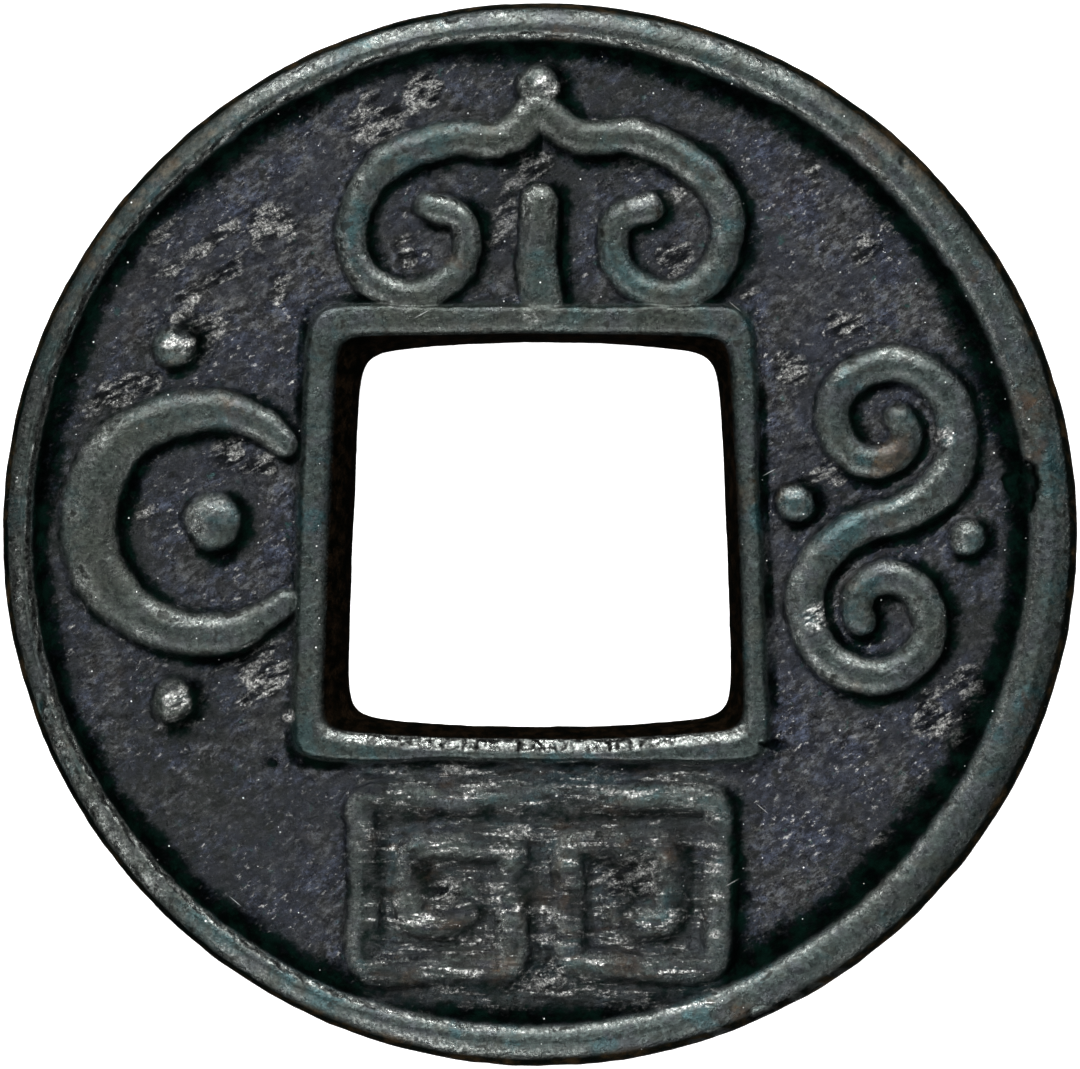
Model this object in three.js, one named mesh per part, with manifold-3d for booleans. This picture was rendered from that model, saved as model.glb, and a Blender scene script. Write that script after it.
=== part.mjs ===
// A large square-holed cash coin: one bronze casting about 37 mm across, with a raised outer rim, a raised
// rim round the square hole, and four ornaments in relief on its face. Millimetres, face up, +Y to the top
// of the face, with the origin on the resting plane under the middle of the outline.
import * as THREE from "three";
import { mergeVertices } from "three/addons/utils/BufferGeometryUtils.js";
import Module from "manifold-3d";

const wasm = await Module();
wasm.setup();

// Overall sizes
const COIN_WIDTH = 37.4;
const COIN_HEIGHT = 37.0;
const RIM_THICKNESS = 3.0;
const FACE_RELIEF = 0.62; // how far the face's outer rim stands above its field
const BACK_RELIEF = 0.5; // the same on the plain back
const EDGE_BULGE = 0.22; // the cast edge is widest at the mould's parting line

// Outer rim
const RIM_LAND_WIDTH = 0.87; // flat top of the rim
const RIM_SHOULDER = 0.38; // rounded step from the flat top to the edge
const RIM_SLOPE = 0.55; // width of the slope down to the field
const RIM_LIP_WIDTH = 0.12; // width of the soft break from the flat top into the slope
const RIM_LIP_DROP = 0.07;
const FIELD_SHIFT_X = -0.32; // the field was cut a little off the middle of the outline
const FIELD_SHIFT_Y = 0.06;
const FOOT_SHIFT_X = -0.15; // and the slope's foot a little further, so the slope is wider on the right

// Square hole and its rim
const HOLE_WIDTH = 12.6;
const HOLE_HEIGHT = 13.0;
const HOLE_SHARPNESS = 9; // superellipse power: higher is squarer
const HOLE_TAPER = 0.036; // the hole widens towards the bottom of the face
const HOLE_FLARE_LEFT = 1.0; // each wall leans out by this much from its waist to the face
const HOLE_FLARE_RIGHT = 0.55;
const HOLE_FLARE_TOP = 0.42;
const HOLE_FLARE_BOTTOM = 0.62;
const HOLE_FLARE_BACK = 0.3;
const HOLE_WAIST_Z = 1.26; // height of the narrowest part of the hole
const HOLE_BREAK = 0.22; // height of the rounded break from the wall to the rim's top
const HOLE_RIM_LEFT = 1.1; // width of the hole's rim on each side
const HOLE_RIM_RIGHT = 0.85;
const HOLE_RIM_TOP = 1.1;
const HOLE_RIM_BOTTOM = 0.8;
const HOLE_RIM_SLOPE = 0.3; // half the width of the slope down to the field
const HOLE_RIM_DROP = 0.03; // the hole's rim lies this much under the outer one
const HOLE_RIM_SHARPNESS = 13;

// Relief strokes
const STROKE_HEIGHT = 0.5;
const STROKE_WIDTH = 1.25; // width half way up the sides
const STROKE_DRAFT = 0.22; // each side widens by this much down to the field
const STROKE_ROOT = 0.35; // how far a stroke's solid reaches into the field
const THUNDER_WIDTH = 0.95;
const THUNDER_HEIGHT = 0.38; // this ornament came out of the mould shallower than the others
const THUNDER_BEND = 0.6; // radius of its corners
const STAR_RADIUS = 0.72;

// Smoothness
const ANGLE_STEPS = 120;
const CORNER_CROWDING = 0.07; // draws the steps together at the square's corners
const MOST_TURN = Math.PI / 12; // of a stroke's direction between two of its sections
const LONGEST_SPAN = 3;
const CURVE_SAMPLES = 600;
const CAP_STEPS = 3;
const STAR_SIDES = 18;

const FACE_FIELD_Z = RIM_THICKNESS - FACE_RELIEF;
const BACK_FIELD_Z = BACK_RELIEF;
const MEAN_RADIUS = (COIN_WIDTH + COIN_HEIGHT) / 4;

// Each ornament is drawn from the foot of the hole's rim on its side, and moves with it.
const SEAT_TOP = HOLE_HEIGHT / 2 + HOLE_FLARE_TOP + HOLE_RIM_TOP;
const SEAT_BOTTOM = -HOLE_HEIGHT / 2 - HOLE_FLARE_BOTTOM - HOLE_RIM_BOTTOM;
const SEAT_RIGHT = HOLE_WIDTH / 2 + HOLE_FLARE_RIGHT + HOLE_RIM_RIGHT;
const SEAT_LEFT = -HOLE_WIDTH / 2 - HOLE_FLARE_LEFT - HOLE_RIM_LEFT;

// Outline of the coin at an angle: a circle, a little wider than high.
function edgeRadius(angle) {
  const stretch = (COIN_WIDTH - COIN_HEIGHT) / 4;
  return MEAN_RADIUS + stretch * Math.cos(2 * angle);
}

// Distance from the origin, at an angle, to a copy of the outline that is drawn in by an inset and shifted.
function shiftedRadius(angle, inset, shiftX, shiftY) {
  const radius = edgeRadius(angle) - inset;
  const along = shiftX * Math.cos(angle) + shiftY * Math.sin(angle);
  const across = shiftY * Math.cos(angle) - shiftX * Math.sin(angle);
  return along + Math.sqrt(radius * radius - across * across);
}

// Distance from the origin, at an angle, to a rounded square that stands off the hole by a margin on each
// side. Its sides lean apart towards the bottom.
function squareRadius(angle, margins, sharpness) {
  const c = Math.cos(angle);
  const s = Math.sin(angle);
  const halfWidth = HOLE_WIDTH / 2 + (c > 0 ? margins.right : margins.left);
  const halfHeight = HOLE_HEIGHT / 2 + (s > 0 ? margins.top : margins.bottom);
  const reach = (x, y) => {
    const sum = Math.abs(x / halfWidth) ** sharpness + Math.abs(y / halfHeight) ** sharpness;
    return sum ** (-1 / sharpness);
  };
  const lean = 1 - (HOLE_TAPER * s * reach(c, s)) / halfHeight;
  return reach(c / lean, s);
}

// How far the walls stand off the hole's waist at a share of their flare, and the same with the hole's rim.
const evenMargin = (m) => ({ left: m, right: m, top: m, bottom: m });
const wallMargin = (share) => ({
  left: HOLE_FLARE_LEFT * share,
  right: HOLE_FLARE_RIGHT * share,
  top: HOLE_FLARE_TOP * share,
  bottom: HOLE_FLARE_BOTTOM * share,
});
const rimMargin = (wall, m) => ({
  left: wall.left + HOLE_RIM_LEFT + m,
  right: wall.right + HOLE_RIM_RIGHT + m,
  top: wall.top + HOLE_RIM_TOP + m,
  bottom: wall.bottom + HOLE_RIM_BOTTOM + m,
});

// The casting's cross-section at an angle, as [radius, z] points, once round from the hole's waist over the
// face to the edge and back under.
function sectionAt(angle) {
  const backWall = evenMargin(HOLE_FLARE_BACK);
  const wall = (share) => squareRadius(angle, wallMargin(share), HOLE_SHARPNESS);
  const rim = (m) => squareRadius(angle, rimMargin(wallMargin(1), m), HOLE_RIM_SHARPNESS);
  const backHole = (m) => squareRadius(angle, evenMargin(m), HOLE_SHARPNESS);
  const backRim = (m) => squareRadius(angle, rimMargin(backWall, m), HOLE_RIM_SHARPNESS);
  const slope = (share) => {
    const inset = RIM_SHOULDER + RIM_LAND_WIDTH + RIM_SLOPE * share;
    return shiftedRadius(angle, inset, FIELD_SHIFT_X + FOOT_SHIFT_X * share, FIELD_SHIFT_Y);
  };
  const land = slope(-RIM_LIP_WIDTH / RIM_SLOPE);
  const edge = edgeRadius(angle);
  const shoulder = edge - RIM_SHOULDER - EDGE_BULGE * 0.3;
  const turn = edge - EDGE_BULGE * 0.6;
  const turnDrop = RIM_SHOULDER * 0.55;
  const top = RIM_THICKNESS;
  const rimTop = top - HOLE_RIM_DROP;
  return [
    [wall(0), HOLE_WAIST_Z],
    [wall(0.5), (HOLE_WAIST_Z + rimTop) / 2],
    [wall(0.8), rimTop - HOLE_BREAK],
    [wall(1.1), rimTop],
    [rim(-HOLE_RIM_SLOPE), rimTop],
    [rim(0), FACE_FIELD_Z + FACE_RELIEF * 0.35],
    [rim(HOLE_RIM_SLOPE), FACE_FIELD_Z],
    [slope(1), FACE_FIELD_Z],
    [slope(0.5), FACE_FIELD_Z + FACE_RELIEF * 0.45],
    [slope(0.1), top - RIM_LIP_DROP],
    [land, top],
    [shoulder, top],
    [turn, top - turnDrop],
    [edge, RIM_THICKNESS / 2],
    [turn, turnDrop],
    [shoulder, 0],
    [land, 0],
    [slope(0.5), BACK_FIELD_Z * 0.6],
    [slope(1), BACK_FIELD_Z],
    [backRim(HOLE_RIM_SLOPE), BACK_FIELD_Z],
    [backRim(-HOLE_RIM_SLOPE), HOLE_RIM_DROP],
    [backHole(HOLE_FLARE_BACK), HOLE_RIM_DROP],
    [backHole(HOLE_FLARE_BACK * 0.5), HOLE_RIM_DROP + HOLE_BREAK],
  ];
}

// Joins rows of points into a closed body. Rows run round a section, and either close on the first row or
// end in flat caps.
function loft(rows, closed) {
  const count = rows[0].length;
  const last = rows.length - 1;
  const index = [];
  const at = (row, i) => (row % rows.length) * count + (i % count);
  for (let row = 0; row < rows.length - (closed ? 0 : 1); row++)
    for (let i = 0; i < count; i++) {
      index.push(at(row, i), at(row, i + 1), at(row + 1, i));
      index.push(at(row + 1, i), at(row, i + 1), at(row + 1, i + 1));
    }
  for (let i = 1; i < count - 1 && !closed; i++) {
    index.push(at(0, 0), at(0, i + 1), at(0, i));
    index.push(at(last, 0), at(last, i), at(last, i + 1));
  }
  const geometry = new THREE.BufferGeometry();
  geometry.setAttribute("position", new THREE.Float32BufferAttribute(rows.flat(2), 3));
  geometry.setIndex(index);
  return geometry;
}

function castingBody() {
  const rows = [];
  for (let step = 0; step < ANGLE_STEPS; step++) {
    const even = (2 * Math.PI * step) / ANGLE_STEPS;
    const angle = even + CORNER_CROWDING * Math.sin(4 * even);
    rows.push(sectionAt(angle).map(([r, z]) => [r * Math.cos(angle), r * Math.sin(angle), z]));
  }
  return loft(rows, true);
}

// A spiral in the plane of the face, from its outer end inwards. A negative turn count winds clockwise.
class Spiral extends THREE.Curve {
  constructor(centre, outerRadius, innerRadius, startAngle, turns) {
    super();
    Object.assign(this, { centre, outerRadius, innerRadius, startAngle, turns });
  }
  getPoint(t, target = new THREE.Vector3()) {
    const angle = this.startAngle + 2 * Math.PI * this.turns * t;
    const radius = THREE.MathUtils.lerp(this.outerRadius, this.innerRadius, t ** 0.85);
    const [x, y] = this.centre;
    return target.set(x + radius * Math.cos(angle), y + radius * Math.sin(angle), 0);
  }
}

// Straight runs joined by round corners.
function roundedRun(corners, radius) {
  const run = new THREE.CurvePath();
  const points = corners.map(([x, y]) => new THREE.Vector3(x, y, 0));
  let from = points[0];
  for (let i = 1; i < points.length - 1; i++) {
    const toward = (other) => points[i].clone().add(other.clone().sub(points[i]).setLength(radius));
    const enter = toward(from);
    const leave = toward(points[i + 1]);
    run.add(new THREE.LineCurve3(from, enter));
    run.add(new THREE.QuadraticBezierCurve3(enter, points[i], leave));
    from = leave;
  }
  run.add(new THREE.LineCurve3(from, points.at(-1)));
  return run;
}

const mirrored = (points) => points.map(([x, y]) => [-x, y]);
const raised = (points, height) => points.map(([x, y]) => [x, y + height]);

function smoothRun(points) {
  const vectors = points.map(([x, y]) => new THREE.Vector3(x, y, 0));
  return new THREE.CatmullRomCurve3(vectors, false, "centripetal");
}

// Places along a curve, from 0 to 1, that lie closer together where it bends.
function stations(curve) {
  const longest = LONGEST_SPAN / curve.getLength();
  const places = [0];
  let heading = curve.getTangentAt(0);
  for (let i = 1; i < CURVE_SAMPLES; i++) {
    const t = i / CURVE_SAMPLES;
    const tangent = curve.getTangentAt(t);
    if (tangent.angleTo(heading) > MOST_TURN || t - places.at(-1) > longest) {
      places.push(t);
      heading = tangent;
    }
  }
  return [...places, 1];
}

// A raised stroke with drafted sides, a flat top with soft shoulders, and rounded ends. widthAt gives its
// width, as a share of the full width, along the curve from 0 to 1.
function stroke(curve, { width = STROKE_WIDTH, height = STROKE_HEIGHT, widthAt = () => 1 } = {}) {
  const rows = [];
  const addRow = (point, tangent, share) => {
    const half = (width / 2) * share;
    const draft = STROKE_DRAFT * share;
    const side = new THREE.Vector3(-tangent.y, tangent.x, 0);
    const top = FACE_FIELD_Z + height * (0.6 + 0.4 * Math.min(share, 1));
    const rightHalf = [
      [half + draft, FACE_FIELD_Z - STROKE_ROOT],
      [half + draft * 0.6, FACE_FIELD_Z + height * 0.1],
      [half * 0.88, top - height * 0.2],
      [half * 0.55, top],
    ];
    const leftHalf = rightHalf.map(([across, z]) => [-across, z]).reverse();
    const profile = [...rightHalf, ...leftHalf];
    rows.push(profile.map(([a, z]) => [point.x + side.x * a, point.y + side.y * a, z]));
  };
  const addCap = (end, direction) => {
    const tangent = curve.getTangentAt(end);
    for (let i = 1; i <= CAP_STEPS; i++) {
      const step = direction < 0 ? CAP_STEPS + 1 - i : i;
      const turn = ((Math.PI / 2) * step) / (CAP_STEPS + 0.35);
      const reach = (width / 2) * widthAt(end) * Math.sin(turn) * direction;
      const point = curve.getPointAt(end).addScaledVector(tangent, reach);
      addRow(point, tangent, Math.cos(turn) * widthAt(end));
    }
  };
  addCap(0, -1);
  for (const t of stations(curve)) addRow(curve.getPointAt(t), curve.getTangentAt(t), widthAt(t));
  addCap(1, 1);
  return loft(rows, false);
}

// A round boss, called a star on such coins.
function star(x, y, radius = STAR_RADIUS) {
  const profile = [
    [0, -STROKE_ROOT],
    [radius + STROKE_DRAFT, -STROKE_ROOT],
    [radius + STROKE_DRAFT * 0.6, STROKE_HEIGHT * 0.1],
    [radius * 0.85, STROKE_HEIGHT * 0.75],
    [radius * 0.45, STROKE_HEIGHT],
    [0, STROKE_HEIGHT],
  ].map(([r, z]) => new THREE.Vector2(r, z));
  const geometry = new THREE.LatheGeometry(profile, STAR_SIDES);
  return geometry.rotateX(Math.PI / 2).translate(x, y, FACE_FIELD_Z);
}

// Above the hole: a cloud head of two volutes that meet in a cusp under a star, with a stem between them.
function cloudHead() {
  const cusp = [[0, 6.7], [-1.3, 5.7], [-3.4, 5.65]];
  const curl = [[-5.5, 4.6], [-6.5, 2.7], [-6.0, 0.9], [-4.3, 0.3], [-2.75, 1.2], [-2.65, 2.8], [-3.9, 3.3]];
  const volute = raised([...cusp, ...curl], SEAT_TOP);
  const stem = raised([[0, -0.1], [0, 1.7], [0, 3.5]], SEAT_TOP);
  const thinInwards = (t) => 1 - 0.32 * t;
  return [
    stroke(smoothRun(volute), { widthAt: thinInwards }),
    stroke(smoothRun(mirrored(volute)), { widthAt: thinInwards }),
    stroke(smoothRun(stem), { widthAt: (t) => 1.15 - 0.3 * t }),
    star(0, SEAT_TOP + 7.55),
  ];
}

// Right of the hole: a scroll of two volutes that turn opposite ways, with a star in each bay.
function doubleScroll() {
  const [middleX, middleY] = [SEAT_RIGHT + 4.15, 0.5];
  const reach = 3.25;
  const half = (way) => new Spiral([middleX, middleY + way * reach], reach, 0.7, (-way * Math.PI) / 2, 1.3);
  const thinInwards = (t) => 1.05 - 0.3 * t;
  return [
    stroke(half(1), { widthAt: thinInwards }),
    stroke(half(-1), { widthAt: thinInwards }),
    star(middleX - 2.95, middleY + 0.6, 0.58),
    star(middleX + 2.95, middleY - 0.6, 0.58),
  ];
}

// Left of the hole: a crescent moon that holds a star, with a star above and below.
function crescentAndStars() {
  const [moonX, moonY] = [SEAT_LEFT - 3.3, 0.4];
  const moonRadius = 3.9;
  const turns = 0.76;
  const moon = new Spiral([moonX, moonY], moonRadius, moonRadius, Math.PI * (1 - turns), turns);
  return [
    stroke(moon, {
      width: STROKE_WIDTH * 1.6,
      widthAt: (t) => 0.35 + 0.65 * Math.max(Math.sin(Math.PI * t), 0) ** 0.8,
    }),
    star(moonX + 0.4, moonY, 1.0),
    star(moonX - 1.0, moonY + 6.2),
    star(moonX - 1.0, moonY - 6.2),
  ];
}

// Below the hole: a pair of square thunder spirals under one bar.
function thunderPair() {
  const outerTurn = [[-6.2, -1.2], [-6.2, -7.1], [-0.95, -7.1], [-0.95, -2.85]];
  const innerTurn = [[-4.55, -2.85], [-4.55, -5.5], [-2.6, -5.5], [-2.6, -4.5]];
  const spiral = raised([...outerTurn, ...innerTurn], SEAT_BOTTOM);
  const pair = roundedRun([...mirrored(spiral).reverse(), ...spiral], THUNDER_BEND);
  return [stroke(pair, { width: THUNDER_WIDTH, height: THUNDER_HEIGHT })];
}

// A closed geometry as a manifold-3d solid.
function solidOf(geometry) {
  const bare = geometry.clone();
  bare.deleteAttribute("normal");
  bare.deleteAttribute("uv");
  const merged = mergeVertices(bare, 1e-4);
  return new wasm.Manifold(
    new wasm.Mesh({
      numProp: 3,
      vertProperties: merged.attributes.position.array,
      triVerts: new Uint32Array(merged.index.array),
    }),
  );
}

function geometryOf(solid) {
  const mesh = solid.getMesh();
  const geometry = new THREE.BufferGeometry();
  geometry.setAttribute("position", new THREE.BufferAttribute(mesh.vertProperties, 3));
  geometry.setIndex(new THREE.BufferAttribute(mesh.triVerts, 1));
  geometry.computeVertexNormals();
  return geometry;
}

const ornaments = [...cloudHead(), ...doubleScroll(), ...crescentAndStars(), ...thunderPair()];
const casting = ornaments.reduce((whole, part) => whole.add(solidOf(part)), solidOf(castingBody()));

const bronze = new THREE.MeshStandardMaterial({ color: 0x2b3233, roughness: 0.55, metalness: 0.8 });
const coin = new THREE.Mesh(geometryOf(casting), bronze);
coin.name = "cast_bronze_coin";

const part = new THREE.Group();
part.add(coin);

export default part;
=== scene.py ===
"""Looks of a square-holed cash coin: one dark bronze casting with worn rims and relief, seen from above.

The casting is shaped in millimetres, in the frame of the solid, and scaled to metres when its mesh is made.
"""
import math

import bpy
import numpy as np
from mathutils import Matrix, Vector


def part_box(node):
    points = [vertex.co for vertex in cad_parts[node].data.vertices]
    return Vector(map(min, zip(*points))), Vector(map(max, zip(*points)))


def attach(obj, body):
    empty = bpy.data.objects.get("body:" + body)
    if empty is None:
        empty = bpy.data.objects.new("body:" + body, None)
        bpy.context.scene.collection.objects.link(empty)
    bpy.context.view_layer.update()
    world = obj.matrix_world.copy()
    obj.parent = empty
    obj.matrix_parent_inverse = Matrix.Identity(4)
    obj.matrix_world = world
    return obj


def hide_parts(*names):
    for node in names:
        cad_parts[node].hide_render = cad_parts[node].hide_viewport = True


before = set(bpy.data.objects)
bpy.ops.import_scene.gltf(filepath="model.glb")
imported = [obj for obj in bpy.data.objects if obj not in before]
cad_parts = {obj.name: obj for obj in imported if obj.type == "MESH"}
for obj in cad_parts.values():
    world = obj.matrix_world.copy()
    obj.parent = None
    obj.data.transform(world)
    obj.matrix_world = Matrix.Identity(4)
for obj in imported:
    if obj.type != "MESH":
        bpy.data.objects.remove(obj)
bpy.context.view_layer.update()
CASTING = "cast_bronze_coin"
MM = 0.001

# Overall sizes in millimetres, the outline and thickness from the solid itself
coin_low, coin_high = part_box(CASTING)
COIN_WIDTH = (coin_high.x - coin_low.x) / MM
COIN_HEIGHT = (coin_high.y - coin_low.y) / MM
RIM_THICKNESS = (coin_high.z - coin_low.z) / MM
FACE_RELIEF = 0.62
BACK_RELIEF = 0.5
EDGE_BULGE = 0.22

# Outer rim
RIM_LAND_WIDTH = 0.87
RIM_SHOULDER = 0.38
RIM_SLOPE = 0.55
FIELD_SHIFT_X = -0.32
FIELD_SHIFT_Y = 0.06
FOOT_SHIFT_X = -0.15

# Room for the cast skin's unevenness under the solid's top, and the share of a slope's height it bends at
SKIN_ROOM = 0.03
FOOT_RISE = 0.42

# Angles of two places where the rim's shoulder is painted in shade, dull brown without its rubbed highlight
SHADED_LEFT = math.radians(142)
SHADED_RIGHT = math.radians(44)

# Square hole and its rim: each side has the hole wall's flare and the rim's width
HOLE_WIDTH = 12.6
HOLE_HEIGHT = 13.0
HOLE_SHARPNESS = 13
HOLE_SHARPENING = 9
HOLE_TAPER = 0.04
HOLE_WAIST_GAIN = 0.12
HOLE_WAIST_BOW = {"left": 0.09, "right": 0.09, "top": 0.56, "bottom": 0.37}
HOLE_FRONT_BOW = {"left": 0.04, "right": 0.04, "top": 0.06, "bottom": 0.3}
HOLE_SHOULDER = 0.26
HOLE_FLARE = {"left": 1.04, "right": 0.57, "top": 0.46, "bottom": 0.62}
HOLE_FLARE_BACK = dict.fromkeys(HOLE_FLARE, 0.3)
HOLE_RIM = {"left": 1.06, "right": 0.83, "top": 1.06, "bottom": 0.8}
HOLE_RIM_SLOPE = 0.3
HOLE_RIM_DROP = 0.03
HOLE_RIM_SHARPNESS = 17
HOLE_WAIST_Z = 1.26

# Relief strokes
STROKE_HEIGHT = 0.5
STROKE_WIDTH = 1.25
STROKE_FOOT = 0.24
THUNDER_WIDTH = 0.95
THUNDER_HEIGHT = 0.38
THUNDER_BEND = 0.6
STAR_RADIUS = 0.72
BLOCK_FILL = 0.16

FACE_FIELD_Z = RIM_THICKNESS - FACE_RELIEF
BACK_FIELD_Z = BACK_RELIEF
SEAT_TOP = HOLE_HEIGHT / 2 + HOLE_FLARE["top"] + HOLE_RIM["top"]
SEAT_BOTTOM = -HOLE_HEIGHT / 2 - HOLE_FLARE["bottom"] - HOLE_RIM["bottom"]
SEAT_RIGHT = HOLE_WIDTH / 2 + HOLE_FLARE["right"] + HOLE_RIM["right"]
SEAT_LEFT = -HOLE_WIDTH / 2 - HOLE_FLARE["left"] - HOLE_RIM["left"]

# Fineness of the mesh
ANGLE_STEPS = 1500
FACE_PITCH = 0.08
HIDDEN_PITCH = 0.2


# Noise on a lattice of fixed random values

LATTICE_SIDE = 64
OCTAVE_SHIFT = 17.3
OCTAVE_GAIN = 0.5
NOISE_REACH = 1.6


def smooth_noise(points, patch, seed, octaves=1):
    """Fractal noise from about -1 to 1 at points in millimetres, with patches of about the given width."""
    table = np.random.default_rng(seed).uniform(-1, 1, LATTICE_SIDE**3)
    total = np.zeros(len(points))
    weight, weights = 1.0, 0.0
    for octave in range(octaves):
        place = points / patch * 2**octave + OCTAVE_SHIFT * (octave + 1)
        low = np.floor(place).astype(np.int64)
        part = place - low
        part = part * part * part * (part * (part * 6 - 15) + 10)
        value = np.zeros(len(points))
        for corner in range(8):
            share = np.ones(len(points))
            index = np.zeros(len(points), np.int64)
            for axis in range(3):
                step = (corner >> axis) & 1
                share *= part[:, axis] if step else 1 - part[:, axis]
                index = index * LATTICE_SIDE + (low[:, axis] + step) % LATTICE_SIDE
            value += share * table[index]
        total += weight * value
        weights += weight
        weight *= OCTAVE_GAIN
    return total / weights * NOISE_REACH


# Direction of the cast skin's streaks, in radians from the right of the face
STREAK_TURN = 0.6


def streaked(points, stretch):
    """The points in a frame where patches of noise come out longer along the streaks."""
    c, s = math.cos(STREAK_TURN), math.sin(STREAK_TURN)
    along = points[:, 0] * c + points[:, 1] * s
    return np.c_[along / stretch, points[:, 1] * c - points[:, 0] * s, points[:, 2]]


def smoothstep(low, high, value):
    """0 at low and 1 at high, with a smooth passage; low may be the greater of the two."""
    t = np.clip((value - low) / (high - low), 0, 1)
    return t * t * (3 - 2 * t)


def ring_noise(angle, radius, patch, seed, octaves=2):
    """Noise along a circle, which meets itself after a full turn."""
    circle = np.c_[radius * np.cos(angle), radius * np.sin(angle), 0 * angle]
    return smooth_noise(circle, patch, seed, octaves)


# Plan outlines as distances from the origin, for an array of angles


def edge_radius(angle):
    """The outline of the coin, a little wider than high."""
    mean = (COIN_WIDTH + COIN_HEIGHT) / 4
    stretch = (COIN_WIDTH - COIN_HEIGHT) / 4
    return mean + stretch * np.cos(2 * angle)


def slope_radius(angle, share):
    """The outer rim's inner slope, from 0 at its lip to 1 at its foot."""
    radius = edge_radius(angle) - RIM_SHOULDER - RIM_LAND_WIDTH - RIM_SLOPE * share
    shift_x = FIELD_SHIFT_X + FOOT_SHIFT_X * share
    along = shift_x * np.cos(angle) + FIELD_SHIFT_Y * np.sin(angle)
    across = FIELD_SHIFT_Y * np.cos(angle) - shift_x * np.sin(angle)
    return along + np.sqrt(radius**2 - across**2)


def square_radius(angle, margins, bows, sharpness):
    """A rounded square that stands off the hole by a margin on each side and widens towards the bottom.

    The bows are how far each side's ends fall back from its middle.
    """
    c, s = np.cos(angle), np.sin(angle)
    half_width = HOLE_WIDTH / 2 + np.where(c > 0, margins["right"], margins["left"])
    half_height = HOLE_HEIGHT / 2 + np.where(s > 0, margins["top"], margins["bottom"])
    side_bow = np.where(c > 0, bows["right"], bows["left"])
    end_bow = np.where(s > 0, bows["top"], bows["bottom"])

    def reach(x, y, width, height):
        return (np.abs(x / width) ** sharpness + np.abs(y / height) ** sharpness) ** (-1 / sharpness)

    radius = reach(c, s, half_width, half_height)
    for _ in range(2):
        across = np.clip(radius * c / half_width, -1, 1)
        up = np.clip(radius * s / half_height, -1, 1)
        lean = 1 - HOLE_TAPER * up
        radius = reach(c / lean, s, half_width - side_bow * up**2, half_height - end_bow * across**2)
    return radius


NO_BOW = dict.fromkeys(HOLE_FLARE, 0)


def wall_radius(angle, share, flare=HOLE_FLARE):
    """The wall of the hole, from 0 at its waist to 1 at the front opening's edge."""
    part = min(share, 1)
    margins = {side: width * share + HOLE_WAIST_GAIN * (1 - part) for side, width in flare.items()}
    bows = {side: HOLE_WAIST_BOW[side] * (1 - part) + HOLE_FRONT_BOW[side] * part for side in flare}
    return square_radius(angle, margins, bows, HOLE_SHARPNESS + HOLE_SHARPENING * part)


def rim_radius(angle, extra, flare=HOLE_FLARE):
    margins = {side: flare[side] + HOLE_RIM[side] + extra for side in flare}
    return square_radius(angle, margins, NO_BOW, HOLE_RIM_SHARPNESS)


# Radii of the circles that each outline's noise is taken along
EDGE_RING = 18.6
SLOPE_RING = 17.2
RIM_RING = 9.0
WALL_RING = 7.0

# Wear of the edge, and the direction of its most worn side
EDGE_WEAR = 0.012
WORN_ANGLE = -0.35


class Outlines:
    """The plan outlines with the small wander of a mould cut by hand, and where, round the coin, its edge
    is worn or brown, its shoulder is painted in shade, and the hole has its flanks, the left and right sides."""

    def __init__(self, angle):
        self.angle = angle
        self.flank = smoothstep(-0.12, 0.12, np.abs(np.cos(angle)) - np.abs(np.sin(angle)))
        self.edge = edge_radius(angle) - EDGE_WEAR * (1 + ring_noise(angle, EDGE_RING, 0.8, 2))
        side = np.cos(angle - WORN_ANGLE) + 0.15 * ring_noise(angle, EDGE_RING, 3.0, 8)
        self.worn_side = smoothstep(-0.1, 0.8, side)
        self.brown_side = smoothstep(-0.65, 0.3, side)
        self.brim_wander = 1 + 0.4 * ring_noise(angle, EDGE_RING, 1.5, 9)
        shaded_left = smoothstep(0.93, 0.98, np.cos(angle - SHADED_LEFT))
        shaded_right = smoothstep(0.955, 0.99, np.cos(angle - SHADED_RIGHT))
        self.shaded_side = shaded_left + shaded_right
        self.slope_wander = 0.07 * ring_noise(angle, SLOPE_RING, 3.4, 3)
        self.slope_wander += 0.04 * ring_noise(angle, SLOPE_RING, 0.55, 6)
        self.rim_wander = 0.07 * ring_noise(angle, RIM_RING, 2.6, 4)
        self.rim_wander += 0.03 * ring_noise(angle, RIM_RING, 0.6, 7)
        self.wall_wander = 0.03 * ring_noise(angle, WALL_RING, 2.6, 5)

    def slope(self, share):
        return slope_radius(self.angle, share) + self.slope_wander * (0.7 + 0.6 * share)

    def rim(self, extra):
        return rim_radius(self.angle, extra) + self.rim_wander

    def wall(self, share):
        return wall_radius(self.angle, share) + self.wall_wander * share

    def back_rim(self, extra):
        return rim_radius(self.angle, extra, HOLE_FLARE_BACK) - self.rim_wander

    def back_wall(self, share):
        return wall_radius(self.angle, share, HOLE_FLARE_BACK) + self.wall_wander * share


# Zones of the section
WALL, FACE, EDGE, BACK = range(4)


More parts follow.
